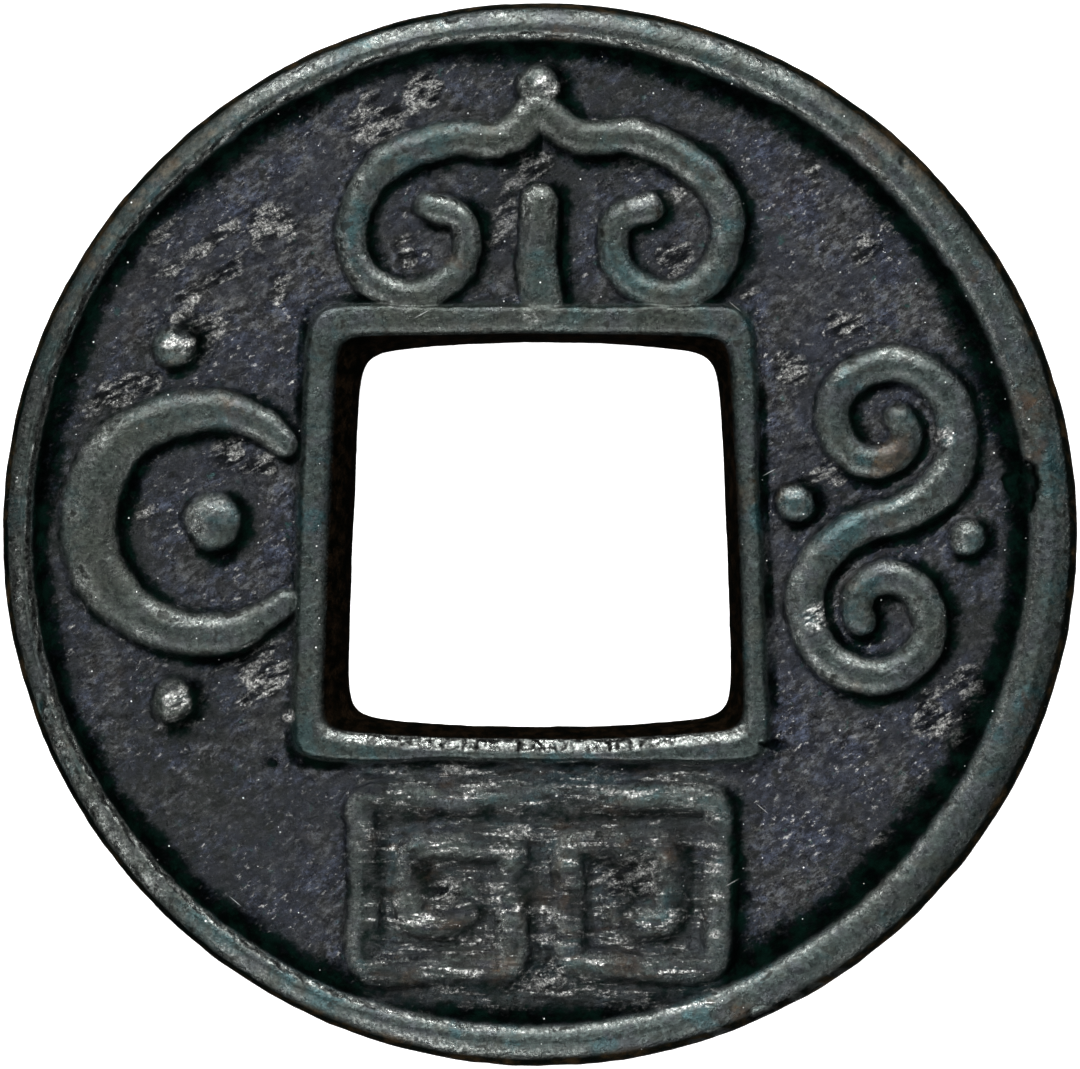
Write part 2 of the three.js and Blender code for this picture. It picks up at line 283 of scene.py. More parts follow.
def section(lines):
    """The cross-section as (radius for each angle, z, zone of the span to the next point), once round."""
    top = RIM_THICKNESS - SKIN_ROOM
    rim_top = top - HOLE_RIM_DROP
    shoulder = lines.edge - RIM_SHOULDER * (1 + 0.45 * lines.worn_side)
    turn = lines.edge - EDGE_BULGE * 0.4
    opening = lines.wall(1.0)
    hole_shoulder = HOLE_SHOULDER * (1 + 0.4 * lines.flank)
    lip = lines.slope(0)
    lip_round = 0.14 + 0.14 * lines.worn_side
    return [
        (lines.wall(0), HOLE_WAIST_Z, WALL),
        (lines.wall(0.5), (HOLE_WAIST_Z + rim_top) / 2, WALL),
        (lines.wall(0.85), rim_top - 0.42, WALL),
        (opening, rim_top - 0.14, FACE),
        (opening + hole_shoulder * 0.6, rim_top - 0.035, FACE),
        (opening + hole_shoulder * 1.3, rim_top, FACE),
        (lines.rim(-HOLE_RIM_SLOPE * 0.9), rim_top, FACE),
        (lines.rim(-HOLE_RIM_SLOPE * 0.4), rim_top - 0.02, FACE),
        (lines.rim(0), FACE_FIELD_Z + FACE_RELIEF * FOOT_RISE, FACE),
        (lines.rim(HOLE_RIM_SLOPE), FACE_FIELD_Z, FACE),
        (lines.rim(HOLE_RIM_SLOPE * 2.2), FACE_FIELD_Z, FACE),
        (lines.slope(1.6), FACE_FIELD_Z, FACE),
        (lines.slope(0.95), FACE_FIELD_Z, FACE),
        (lines.slope(0.5), FACE_FIELD_Z + FACE_RELIEF * FOOT_RISE, FACE),
        (lip, top - 0.12, FACE),
        (lip + lip_round * 0.9, top - 0.02, FACE),
        (lip + lip_round * 2, top, FACE),
        (shoulder - 0.34, top, FACE),
        (shoulder - 0.04, top - 0.09, FACE),
        (shoulder + 0.17 + 0.07 * lines.worn_side, top - 0.24, FACE),
        (turn + 0.03, top - 0.6, EDGE),
        (lines.edge, RIM_THICKNESS * 0.5, EDGE),
        (turn, RIM_SHOULDER * 0.3, BACK),
        (shoulder, 0, BACK),
        (lines.slope(-0.5), 0, BACK),
        (lines.slope(0.1), 0.02, BACK),
        (lines.slope(0.9), BACK_FIELD_Z, BACK),
        (lines.back_rim(HOLE_RIM_SLOPE), BACK_FIELD_Z, BACK),
        (lines.back_rim(-HOLE_RIM_SLOPE), HOLE_RIM_DROP, BACK),
        (lines.back_wall(1.4), HOLE_RIM_DROP, BACK),
        (lines.back_wall(0.9), HOLE_RIM_DROP + 0.1, WALL),
    ]


def spline_rows(control):
    """Rows of (radius for each angle, z, zone) along the section, drawn as a smooth closed B-spline."""
    count = len(control)
    rows = []
    for i, (_, _, zone) in enumerate(control):
        near = [control[(i + k) % count] for k in (-1, 0, 1, 2)]
        (ra, za, _), (rb, zb, _), (rc, zc, _), (rd, zd, _) = near
        length = np.hypot(rd + 3 * rc - 3 * rb - ra, zd + 3 * zc - 3 * zb - za).max() / 6
        steps = max(2, math.ceil(length / (FACE_PITCH if zone == FACE else HIDDEN_PITCH)))
        for step in range(steps):
            t = step / steps
            weights = (
                (1 - t) ** 3 / 6,
                (3 * t**3 - 6 * t**2 + 4) / 6,
                (-3 * t**3 + 3 * t**2 + 3 * t + 1) / 6,
                t**3 / 6,
            )
            row_radius = sum(w * point[0] for w, point in zip(weights, near))
            row_height = sum(w * point[1] for w, point in zip(weights, near))
            rows.append((row_radius, row_height, zone))
    return rows


# Centrelines of the relief's strokes

SAMPLES_PER_MM = 14


def samples(length):
    return max(3, int(length * SAMPLES_PER_MM))


def smooth_run(points):
    """Dense points along a centripetal curve through a few."""
    p = np.array(points, float)
    p = np.vstack([2 * p[0] - p[1], p, 2 * p[-1] - p[-2]])
    out = []
    for a, b, c, d in zip(p, p[1:], p[2:], p[3:]):
        t1 = np.linalg.norm(b - a) ** 0.5
        t2 = t1 + np.linalg.norm(c - b) ** 0.5
        t3 = t2 + np.linalg.norm(d - c) ** 0.5
        t = np.linspace(t1, t2, samples(np.linalg.norm(c - b)), endpoint=False)[:, None]
        ab = ((t1 - t) * a + t * b) / t1
        bc = ((t2 - t) * b + (t - t1) * c) / (t2 - t1)
        cd = ((t3 - t) * c + (t - t2) * d) / (t3 - t2)
        abc = ((t2 - t) * ab + t * bc) / t2
        bcd = ((t3 - t) * bc + (t - t1) * cd) / (t3 - t1)
        out.append(((t2 - t) * abc + (t - t1) * bcd) / (t2 - t1))
    return np.vstack(out + [p[-2][None]])


def spiral(centre, outer, inner, start, turns):
    """Dense points along a spiral from its outer to its inner radius."""
    t = np.linspace(0, 1, samples(turns * math.pi * (outer + inner)))
    angle = start + 2 * math.pi * turns * t
    radius = outer + (inner - outer) * t**0.85
    return np.c_[centre[0] + radius * np.cos(angle), centre[1] + radius * np.sin(angle)]


def rounded_run(corners, radius):
    """Straight runs joined by round corners, as dense points."""
    corners = [np.array(corner, float) for corner in corners]
    out, start = [], corners[0]
    for corner, after in zip(corners[1:], corners[2:]):
        enter = corner + (start - corner) / np.linalg.norm(start - corner) * radius
        leave = corner + (after - corner) / np.linalg.norm(after - corner) * radius
        out.append(np.linspace(start, enter, samples(np.linalg.norm(enter - start)), endpoint=False))
        t = np.linspace(0, 1, samples(2 * radius), endpoint=False)[:, None]
        out.append((1 - t) ** 2 * enter + 2 * t * (1 - t) * corner + t**2 * leave)
        start = leave
    out.append(np.linspace(start, corners[-1], samples(np.linalg.norm(corners[-1] - start))))
    return np.vstack(out)


def mirrored(points):
    return [(-x, y) for x, y in points]


def raised(points, height):
    return [(x, y + height) for x, y in points]


def stroke(line, width=STROKE_WIDTH, height=STROKE_HEIGHT, width_at=np.ones_like):
    """A stroke along a line, its width varied by a function of the share of the way along."""
    t = np.linspace(0, 1, len(line))
    return {"line": line, "half": width / 2 * width_at(t), "height": height}


def star(x, y, radius=STAR_RADIUS):
    return {"line": np.array([[x, y]]), "half": np.array([radius]), "height": STROKE_HEIGHT}


def cloud_head():
    cusp = [(0, 6.7), (-1.3, 5.7), (-3.4, 5.65)]
    curl = [(-5.5, 4.6), (-6.5, 2.7), (-6.0, 0.9), (-4.3, 0.3), (-2.75, 1.2), (-2.65, 2.8), (-3.9, 3.3)]
    volute = raised(cusp + curl, SEAT_TOP)
    stem = raised([(0, -0.1), (0, 1.7), (0, 3.5)], SEAT_TOP)
    return [
        stroke(smooth_run(volute), width_at=lambda t: 1 - 0.32 * t),
        stroke(smooth_run(mirrored(volute)), width_at=lambda t: 1 - 0.32 * t),
        stroke(smooth_run(stem), width_at=lambda t: 1.15 - 0.3 * t),
        star(0, SEAT_TOP + 7.55),
    ]


def double_scroll():
    middle_x, middle_y, reach = SEAT_RIGHT + 4.15, 0.5, 3.25
    halves = []
    for way in (1, -1):
        line = spiral((middle_x, middle_y + way * reach), reach, 0.7, -way * math.pi / 2, 1.3)
        halves.append(stroke(line, width_at=lambda t: 1.05 - 0.3 * t))
    return halves + [
        star(middle_x - 2.95, middle_y + 0.6, 0.58),
        star(middle_x + 2.95, middle_y - 0.6, 0.58),
    ]


def crescent_width(t):
    """Width along the crescent, from thin tips to a full middle."""
    return 0.35 + 0.65 * np.clip(np.sin(math.pi * t), 0, 1) ** 0.8


def crescent_and_stars():
    moon_x, moon_y, radius, turns = SEAT_LEFT - 3.3, 0.4, 3.9, 0.76
    moon = spiral((moon_x, moon_y), radius, radius, math.pi * (1 - turns), turns)
    return [
        stroke(moon, STROKE_WIDTH * 1.6, width_at=crescent_width),
        star(moon_x + 0.4, moon_y, 1.0),
        star(moon_x - 1.0, moon_y + 6.2),
        star(moon_x - 1.0, moon_y - 6.2),
    ]


def thunder_pair():
    outer_turn = [(-6.2, -1.2), (-6.2, -7.1), (-0.95, -7.1), (-0.95, -2.85)]
    inner_turn = [(-4.55, -2.85), (-4.55, -5.5), (-2.6, -5.5), (-2.6, -4.5)]
    turns = raised(outer_turn + inner_turn, SEAT_BOTTOM)
    line = rounded_run(mirrored(turns)[::-1] + turns, THUNDER_BEND)
    return [stroke(line, THUNDER_WIDTH, THUNDER_HEIGHT)]


def block_share(x, y):
    """The block below the hole, where metal half fills the spaces of the spirals."""
    across = smoothstep(6.6, 5.8, np.abs(x))
    return across * smoothstep(0.3, -0.3, y - SEAT_BOTTOM) * smoothstep(-8.8, -8.2, y - SEAT_BOTTOM)


# Direction towards each stroke's shadow side, away from the lights, where painted shadow falls: right and a
# little down
SHADOW_SIDE_X = 0.9
SHADOW_SIDE_Y = -0.44

# A distance beyond the reach of every stroke, and how many points are measured at a time
FAR = 9.0
POINTS_AT_A_TIME = 8000


def stroke_distance(item, x, y, reach):
    """Distance from each point to the side of a stroke, negative on it, the stroke's half width there, and
    how far the point is on the stroke's shadow side, to the right and below, from -1 to 1."""
    line, half = item["line"], item["half"]
    distance = np.full(len(x), FAR)
    width = np.full(len(x), 1.0)
    shadow_side = np.zeros(len(x))
    span = half.max() + reach
    inside = (x > line[:, 0].min() - span) & (x < line[:, 0].max() + span)
    inside &= (y > line[:, 1].min() - span) & (y < line[:, 1].max() + span)
    near = np.nonzero(inside)[0]
    for part in np.array_split(near, len(near) // POINTS_AT_A_TIME + 1):
        away = np.hypot(x[part, None] - line[:, 0], y[part, None] - line[:, 1]) - half
        nearest = away.argmin(axis=1)
        distance[part] = away[np.arange(len(part)), nearest]
        width[part] = half[nearest]
        aside = (x[part] - line[nearest, 0]) * SHADOW_SIDE_X + (y[part] - line[nearest, 1]) * SHADOW_SIDE_Y
        shadow_side[part] = aside / (distance[part] + width[part] + 0.01)
    return distance, width, shadow_side


def dome(rise):
    """Height of a stroke's round section, from 0 at its foot to 1 over its middle line."""
    return (1 - (1 - rise) ** 3) ** 0.9 * smoothstep(0, 0.18, rise)


def terraces(value, steps):
    """Smooth noise cut into flat steps with steep sides, about so many for each unit of it."""
    level = value * steps
    low = np.floor(level)
    return (low + smoothstep(0.25, 0.75, level - low)) / steps


# How far the cutter's hand strayed over long and short ways, and how far beside a stroke it is felt
HAND_WANDER = 0.07
HAND_TREMBLE = 0.035
STROKE_REACH = 1.5


def relief(x, y):
    """Height of the relief over the field, how far up its stroke's section each point is, the distance to the
    side of the nearest stroke, and how far the point is on that stroke's shadow side."""
    points = np.c_[x, y, 0 * x]
    hand_x = x + HAND_WANDER * smooth_noise(points, 1.7, 21) + HAND_TREMBLE * smooth_noise(points, 0.5, 23)
    hand_y = y + HAND_WANDER * smooth_noise(points, 1.7, 22) + HAND_TREMBLE * smooth_noise(points, 0.5, 24)
    ledges = terraces(smooth_noise(points * (0.25, 1, 1), 0.6, 25, 3), 3.5)
    patchy = smoothstep(-0.1, 0.6, smooth_noise(points, 1.4, 27, 2))
    height = BLOCK_FILL * block_share(x, y) * (1 + 1.3 * ledges)
    up = np.zeros(len(x))
    distance = np.full(len(x), FAR)
    shadow_side = np.zeros(len(x))
    for item in cloud_head() + double_scroll() + crescent_and_stars() + thunder_pair():
        away, half, aside = stroke_distance(item, hand_x, hand_y, STROKE_REACH)
        rise = np.clip((STROKE_FOOT - away) / (STROKE_FOOT + half), 0, 1)
        eroded = 1 - block_share(x, y) * (0.22 * patchy + 0.2 * ledges)
        height = np.maximum(height, dome(rise) * item["height"] * eroded)
        up = np.maximum(up, rise)
        shadow_side = np.where(away < distance, aside, shadow_side)
        distance = np.minimum(distance, away)
    return height, up, distance, shadow_side


# Damage: x, y, reach along x and y, and depth of each chip in millimetres, and how freshly bright it is

CHIPS = (
    (16.9, 1.65, 0.4, 0.78, 0.42, 0),
    (16.5, 1.8, 0.5, 0.5, 0.2, 0),
    (7.8, -16.68, 0.56, 0.36, 0.4, 1),
    (8.9, -16.1, 0.3, 0.2, 0.2, 1),
    (9.6, -15.75, 0.3, 0.18, 0.22, 1),
    (10.4, -15.2, 0.34, 0.18, 0.2, 0.9),
    (6.45, -17.25, 0.5, 0.18, 0.2, 1),
    (5.45, -17.6, 0.3, 0.14, 0.15, 0.8),
    (-17.3, -5.9, 0.14, 0.4, 0.1, 0),
    (-3.1, 17.9, 0.3, 0.2, 0.08, 0),
    (12.6, 12.9, 0.16, 0.2, 0.1, 0),
    (-9.35, -7.9, 0.35, 0.18, 0.16, 0),
    (8.1, -7.3, 0.6, 0.22, 0.18, 0),
    (-7.9, 8.0, 0.3, 0.3, 0.1, 0),
)


def chip_depth(x, y):
    """Depth of the chips at each point, with broken outlines and steep walls, and how fresh they are."""
    points = np.c_[x, y, 0 * x]
    broken = 0.38 * smooth_noise(points, 0.42, 26, 3)
    depth, fresh = np.zeros(len(x)), np.zeros(len(x))
    for at_x, at_y, reach_x, reach_y, deep, bright in CHIPS:
        away = np.hypot((x - at_x) / reach_x, (y - at_y) / reach_y) + broken
        depth = np.maximum(depth, deep * smoothstep(1.0, 0.78, away))
        fresh = np.maximum(fresh, bright * smoothstep(1.2, 0.9, away))
    return depth, fresh


# Patches of the field that stayed rough from the mould, which also carry painted glints: x, y and reach in
# millimetres

ROUGH_PATCHES = (
    (-5.7, 14.4, 0.9),
    (-3.9, 15.2, 0.8),
    (-12.2, 7.2, 1.3),
    (-13.4, 5.4, 0.6),
    (11.3, 10.0, 0.6),
    (10.6, 7.4, 0.6),
    (9.4, 12.6, 0.5),
    (-9.8, -4.8, 1.2),
    (-12.6, -5.6, 1.1),
    (-10.6, 2.8, 0.7),
    (-4.6, 9.6, 0.7),
    (4.4, 9.7, 0.8),
    (0.1, 15.6, 0.7),
    (3.4, -11.6, 1.6),
    (-3.2, -12.3, 1.1),
    (0.6, -15.4, 0.8),
    (13.6, -6.2, 0.8),
    (8.2, -16.7, 0.7),
    (-14.9, 4.9, 0.9),
    (-9.1, 8.3, 0.7),
    (-9.3, 10.6, 0.8),
    (-9.4, 2.3, 0.5),
    (8.5, 5.6, 0.7),
    (13.9, 3.4, 0.5),
    (-8.7, -6.3, 0.5),
    (-0.2, 12.9, 0.6),
    (9.6, -2.9, 0.6),
)


# Places where earth brown stays on the metal, and wide places where the field and raised metal are darker: x,
# y and reach

EARTH_PATCHES = (
    (-3.95, -11.7, 0.45),
    (-4.5, -15.5, 0.4),
    (-1.4, -14.9, 0.55),
    (2.9, -14.9, 0.55),
    (4.5, -11.0, 0.5),
    (17.15, 2.9, 0.4),
    (16.95, 4.5, 0.6),
    (7.0, -16.6, 0.4),
)
DARKER_PLACES = (
    (-12.0, -8.5, 5.0),
    (0.0, 13.2, 3.4),
    (-4.2, 7.6, 1.5),
    (0.0, 7.6, 1.9),
    (4.2, 7.6, 1.5),
    (3.6, 15.6, 2.4),
    (-3.0, -13.0, 2.0),
    (-15.2, 4.6, 3.0),
    (-15.4, -0.6, 3.4),
    (11.4, -11.7, 1.6),
    (15.2, -2.6, 1.8),
)


def spread(points, places):
    """How near each point is to the middle of a patch, from 0 to 1."""
    share = np.zeros(len(points))
    for at_x, at_y, reach in places:
        away = np.hypot(points[:, 0] - at_x, points[:, 1] - at_y) / reach
        share = np.maximum(share, np.exp(-(away**2)))
    return share


def rough_share(points, field):
    """How rough the cast surface is, from 0 to 1: patches broken up by noise, rarer on raised metal."""
    share = 0.4 * smoothstep(0.3, 0.8, smooth_noise(points, 2.6, 31, 2)) * field
    share = np.maximum(share, spread(points, ROUGH_PATCHES))
    broken = smoothstep(-0.3, 0.35, smooth_noise(streaked(points, 2.4), 0.6, 32, 2))
    return share * np.maximum(broken, 0.8 * smoothstep(0.6, 0.95, share))


def foot_dirt_and_shade(points, to_slope, to_rim, to_stroke, shadow_side):
    """Dirt and painted shade along the foot of each slope: wide at the outer rim, thin and broken at the
    hole's rim, and wider as painted shadow on each stroke's shadow side than on the other."""
    wide = smooth_noise(points, 2.6, 33, 2)
    thin = smooth_noise(points, 1.7, 34, 2)
    outer = smoothstep(0.85 + 0.45 * wide, -0.1, to_slope)
    strokes = smoothstep(0.12 + 0.42 * shadow_side + 0.22 * thin, -0.14, to_stroke)
    strokes *= 0.35 + 0.65 * np.clip(shadow_side + 0.3 * thin, 0, 1)
    inner = smoothstep(0.25 + 0.15 * wide, -0.15, to_rim) * (0.3 + 0.7 * smoothstep(-0.3, 0.6, thin))
    return np.maximum(outer, np.maximum(strokes, inner))


def band(value, low, full_from, full_to, high):
    """1 between two values, falling smoothly to 0 outside them."""
    return smoothstep(low, full_from, value) * smoothstep(high, full_to, value)


# The casting

RELIEF_JOINT = 0.05
RELIEF_JOINT_DROP = 0.012


def joined(risen, base):
    """The higher of two heights over the field, softly joined and never above the rim's top."""
    blend = np.hypot(risen - base, RELIEF_JOINT)
    return np.minimum((risen + base + blend) / 2 - RELIEF_JOINT_DROP, FACE_RELIEF)


class Skin:
    """The casting's points in rows round it, with their zones and their distances from its forms. The
    values up, to_stroke, to_rim, to_slope and to_lip, and how far each point is on a stroke's shadow side,
    are those of the face's points alone."""

    def __init__(self):
        angle = np.linspace(0, 2 * math.pi, ANGLE_STEPS, endpoint=False)
        lines = Outlines(angle)
        self.lines = lines
        rows = spline_rows(section(lines))
        self.row_zones = np.array([zone for _, _, zone in rows])
        self.radius = np.array([row[0] for row in rows])
        self.x = (self.radius * np.cos(angle)).ravel()
        self.y = (self.radius * np.sin(angle)).ravel()
        self.z = np.repeat([row[1] for row in rows], ANGLE_STEPS).astype(float)
        self.points = np.c_[self.x, self.y, self.z]
        zone = np.repeat(self.row_zones, ANGLE_STEPS)
        self.face = zone == FACE
        self.back = zone == BACK
        self.hole = zone == WALL

        risen, self.up, stroke_away, aside = relief(self.x[self.face], self.y[self.face])
        self.to_stroke = stroke_away - STROKE_FOOT
        self.shadow_side = smoothstep(-0.5, 0.7, aside)
        on_field = np.maximum(self.z[self.face] - FACE_FIELD_Z, 0)
        self.z[self.face] = FACE_FIELD_Z + joined(risen, on_field)

        self.to_rim = self.beyond(lines.rim(HOLE_RIM_SLOPE))[self.face]
        self.to_slope = -self.beyond(lines.slope(1))[self.face]
        self.to_lip = self.beyond(lines.slope(0))[self.face]
        self.to_edge = -self.beyond(lines.edge)
        self.to_opening = self.beyond(lines.wall(1.0))
        self.lumps = smooth_noise(self.points, 1.1, 12, 2)
        self.grain = smooth_noise(self.points, 0.38, 13, 2)

    def beyond(self, line):
        """How far outside a plan outline each point is."""
        return (self.radius - line).ravel()

    def each_row(self, values):
        """Values that are given for each angle, repeated for every row."""
        return np.tile(values, len(self.row_zones))

    def blank(self):
        return np.zeros(len(self.x))

    def pushed(self, push):
        """The points with their push on the two faces, and fine waves on the edge and the hole's wall."""
        x, y, z = self.x.copy(), self.y.copy(), self.z.copy()
        z[self.face] += push[self.face]
        z[self.back] -= push[self.back]
        z = np.clip(z, 0, RIM_THICKNESS)
        side = ~(self.face | self.back)
        stretch = 1 + (0.012 * self.lumps[side] + 0.008 * self.grain[side]) / np.hypot(x[side], y[side])
        x[side] *= stretch
        y[side] *= stretch
        return np.c_[x, y, z]


def worn_share(skin):
    """How worn the metal is, from 0 on the field of each face to 1 on its raised forms."""
    worn = np.full(len(skin.x), 0.45)
    worn[skin.face] = np.clip((skin.z[skin.face] - FACE_FIELD_Z) / (STROKE_HEIGHT * 0.9), 0, 1)
    worn[skin.back] = np.clip((BACK_FIELD_Z - skin.z[skin.back]) / BACK_RELIEF, 0, 1)
    return worn


def field_share(skin, worn):
    """How much roughness the cast skin has left: all on the fields, little on worn metal."""
    field = 1 - smoothstep(0.05, 0.45, worn)
    field[~(skin.face | skin.back)] = 0.3
    return field


def hollow_dirt_and_shade_share(skin, worn):
    """Dirt and painted shade along the feet of the face's slopes and strokes, and dirt half way down the
    back's slopes.
    """
    hollow_dirt_and_shade = skin.blank()
    dirt_and_shade = foot_dirt_and_shade(skin.points[skin.face], skin.to_slope, skin.to_rim, skin.to_stroke, skin.shadow_side)
    hollow_dirt_and_shade[skin.face] = dirt_and_shade * (1 - smoothstep(0.5, 0.95, worn[skin.face]))
    hollow_dirt_and_shade[skin.face] *= 1 - 0.5 * block_share(skin.x[skin.face], skin.y[skin.face])
    hollow_dirt_and_shade[skin.back] = 0.8 * worn[skin.back] * (1 - worn[skin.back]) * 4
    return hollow_dirt_and_shade


def shade_share(skin, worn):
    """A wide, weak darkening beside the outer rim and the strokes."""
    shade = skin.blank()
    near_stroke = smoothstep(1.0, 0, skin.to_stroke) * (0.25 + 0.9 * skin.shadow_side)
    near_foot = np.maximum(smoothstep(1.1, 0.1, skin.to_slope), near_stroke)
    shade[skin.face] = near_foot * (1 - smoothstep(0.6, 0.95, worn[skin.face]))
    return shade


def brim_share(skin):
    """Brown along the outer edge, wider on one side, and painted shade as dull brown on the shoulder's two
    shaded places.
    """
    brown_side = skin.each_row(skin.lines.brown_side)
    wander = skin.each_row(skin.lines.brim_wander)
    shaded = skin.each_row(skin.lines.shaded_side)
    brim = smoothstep(0.26 + 0.22 * brown_side, 0.1 + 0.1 * brown_side, skin.to_edge / wander)
    return np.maximum(brim, 0.55 * shaded * band(skin.to_edge, 0, 0.1, 0.55, 0.85))


def wall_share(skin):
    """The wall of the hole, whose dark colour comes a little over its front edge on the flanks as painted
    shade.
    """
    flank = skin.each_row(skin.lines.flank)
    return np.where(skin.hole, 1, smoothstep(-0.14 * flank, 0.1, -skin.to_opening) * skin.face)


def rub_and_highlight_share(skin):
    """Edges rubbed bright, partly painted highlight: the rims' shoulders and lips, and the sides of the
    strokes' tops.
    """
    face_points = skin.points[skin.face]
    worn_side = skin.each_row(skin.lines.worn_side)
    flank = skin.each_row(skin.lines.flank)
    shaded = skin.each_row(skin.lines.shaded_side)

    wear = 0.12 + 0.48 * smoothstep(-0.4, 0.6, smooth_noise(face_points, 1.3, 35, 2))
    # Painted highlight: more on each stroke's lit side, less on its shadow side.
    strokes = wear * band(skin.up, 0.16, 0.36, 0.6, 0.9) * (1.2 - 0.8 * skin.shadow_side)
    # Less painted highlight on the lip's worn side, which faces away from the lights.
    lip = band(skin.to_lip, -0.12, -0.02, 0.06, 0.16) * (1 - 0.5 * worn_side[skin.face])
    # Painted highlight on the opening's bottom side, little on its top and flanks.
    opening = band(skin.to_opening, -0.06, 0.04, 0.3, 0.52) * (1 - 0.9 * flank)
    opening *= np.where(skin.y < 0, 2.1, 0.2)
    opening *= 0.6 + 0.4 * smoothstep(-0.5, 0.3, smooth_noise(skin.points, 0.9, 37, 3))
    # Painted highlight on the outer shoulder, held off the worn side and the two shaded places.
    shoulder = band(skin.to_edge, 0.2, 0.34, 0.5, 0.85) * (1 - 0.6 * worn_side) * (1 - 0.85 * shaded)
    patchy = 0.15 + 0.7 * smoothstep(-0.4, 0.5, smooth_noise(face_points, 1.6, 36, 3))

    rub_and_highlight = skin.blank()
    for edge in (strokes, lip, opening[skin.face], shoulder[skin.face] * patchy):
        rub_and_highlight[skin.face] = np.maximum(rub_and_highlight[skin.face], edge)
    return rub_and_highlight


def surface_push(skin, field, rough, rub_and_highlight):
    """How far swells, lumps, ripples and pits push each point out of its face."""
    points, lumps, grain = skin.points, skin.lumps, skin.grain
    swell = smooth_noise(points, 3.4, 11, 2)
    ripples = smooth_noise(streaked(points, 2.2), 0.42, 15, 2)
    pits = smoothstep(0.5, 0.95, smooth_noise(points, 0.7, 14, 2))
    push = 0.03 * swell + 0.03 * lumps * (0.25 + 0.75 * field)
    push += grain * (0.006 + 0.014 * field + 0.04 * rough)
    push += ripples * (0.036 + 0.03 * rough) * field - 0.05 * rub_and_highlight * grain
    push -= 0.09 * pits * (0.12 + 0.88 * field)
    return push


def casting_points():
    """Points of the casting, its rows' zones, and the masks that its finish is mixed by."""
    skin = Skin()
    face = skin.face
    worn = worn_share(skin)
    field = field_share(skin, worn)
    rough = rough_share(skin.points, field) * (0.6 + 0.4 * field)
    rub_and_highlight = rub_and_highlight_share(skin)
    push = surface_push(skin, field, rough, rub_and_highlight)

    chips, bright = chip_depth(skin.x[face], skin.y[face])
    push[face] -= chips
    fresh = skin.blank()
    fresh[face] = bright
    hollow_dirt_and_shade = hollow_dirt_and_shade_share(skin, worn)
    # Chip floors that are not fresh get dirt and painted shade.
    hollow_dirt_and_shade[face] = np.maximum(hollow_dirt_and_shade[face], 0.8 * smoothstep(0.06, 0.2, chips) * (1 - bright))
    rub_and_highlight[face] *= 1 - smoothstep(0.03, 0.1, chips)

    wall = wall_share(skin)
    masks = {
        "worn": worn,
        "hollow_dirt_and_shade": hollow_dirt_and_shade,
        "shade": shade_share(skin, worn),
        "brim": brim_share(skin) * (1 - 0.9 * fresh),
        "rough": rough,
        "rub_and_highlight": rub_and_highlight,
        "wall": wall,
        "block": block_share(skin.x, skin.y) * face,
        "fresh": fresh,
        "flat": (face | skin.back) * smoothstep(0.12, 0.22, skin.to_edge) * (1 - wall),
        "earth": spread(skin.points, EARTH_PATCHES) * face,
        "darker_places": spread(skin.points, DARKER_PLACES) * face,
    }
    return skin.pushed(push), skin.row_zones, masks


# The flat map, in shares of its side: face and back as discs above, edge and wall as strips below

MAP_DISC = 0.48
MAP_STRIP = 0.2
MAP_FACE_X = 0.01
MAP_BACK_X = 0.51
MAP_DISC_Y = 0.51
MAP_EDGE_Y = 0.26
MAP_WALL_Y = 0.02


def flat_places(zone, x, y, z, turn):
    """Where points lie on the flat map, turn being their share of the way round."""
    across = (x / COIN_WIDTH + 0.5) * MAP_DISC
    up = (y / COIN_WIDTH + 0.5) * MAP_DISC + MAP_DISC_Y
    strip = np.clip(z / RIM_THICKNESS, 0, 1) * MAP_STRIP
    u = np.select([zone == FACE, zone == BACK], [MAP_FACE_X + across, MAP_BACK_X + across], turn)
    on_strip = np.where(zone == EDGE, MAP_EDGE_Y, MAP_WALL_Y) + strip
    v = np.where((zone == FACE) | (zone == BACK), up, on_strip)
    return u, v


def build_casting():
    """One closed mesh of quads, with its masks as attributes and its flat map."""
    points, zones, masks = casting_points()
    count = len(zones)
    row, column = np.meshgrid(np.arange(count), np.arange(ANGLE_STEPS), indexing="ij")
    row, column = row.ravel(), column.ravel()
    corner_rows = np.stack([row, row + 1, row + 1, row], axis=-1)
    corner_columns = np.stack([column, column, column + 1, column + 1], axis=-1)
    quads = corner_rows % count * ANGLE_STEPS + corner_columns % ANGLE_STEPS

    mesh = bpy.data.meshes.new("coin_casting")
    mesh.vertices.add(len(points))
    mesh.vertices.foreach_set("co", (points * MM).astype(np.float32).ravel())
    mesh.loops.add(quads.size)
    mesh.loops.foreach_set("vertex_index", quads.astype(np.int32).ravel())
    mesh.polygons.add(len(quads))
    mesh.polygons.foreach_set("loop_start", np.arange(0, quads.size, 4, dtype=np.int32))
    mesh.polygons.foreach_set("loop_total", np.full(len(quads), 4, dtype=np.int32))
    mesh.update(calc_edges=True)
    mesh.polygons.foreach_set("use_smooth", np.ones(len(quads), bool))
    for name, values in masks.items():
        attribute = mesh.attributes.new(name, "FLOAT", "POINT")
        attribute.data.foreach_set("value", values.astype(np.float32))

    corner_points = points[quads.ravel()]
    corner_zones = np.repeat(zones[row], 4)
    turn = corner_columns.ravel() / ANGLE_STEPS
    u, v = flat_places(corner_zones, *corner_points.T, turn)
    flat_map = mesh.uv_layers.new(name="OFBake")
    flat_map.data.foreach_set("uv", np.c_[u, v].astype(np.float32).ravel())

    coin = bpy.data.objects.new("coin_casting", mesh)
    bpy.context.scene.collection.objects.link(coin)
    return coin


# Materials


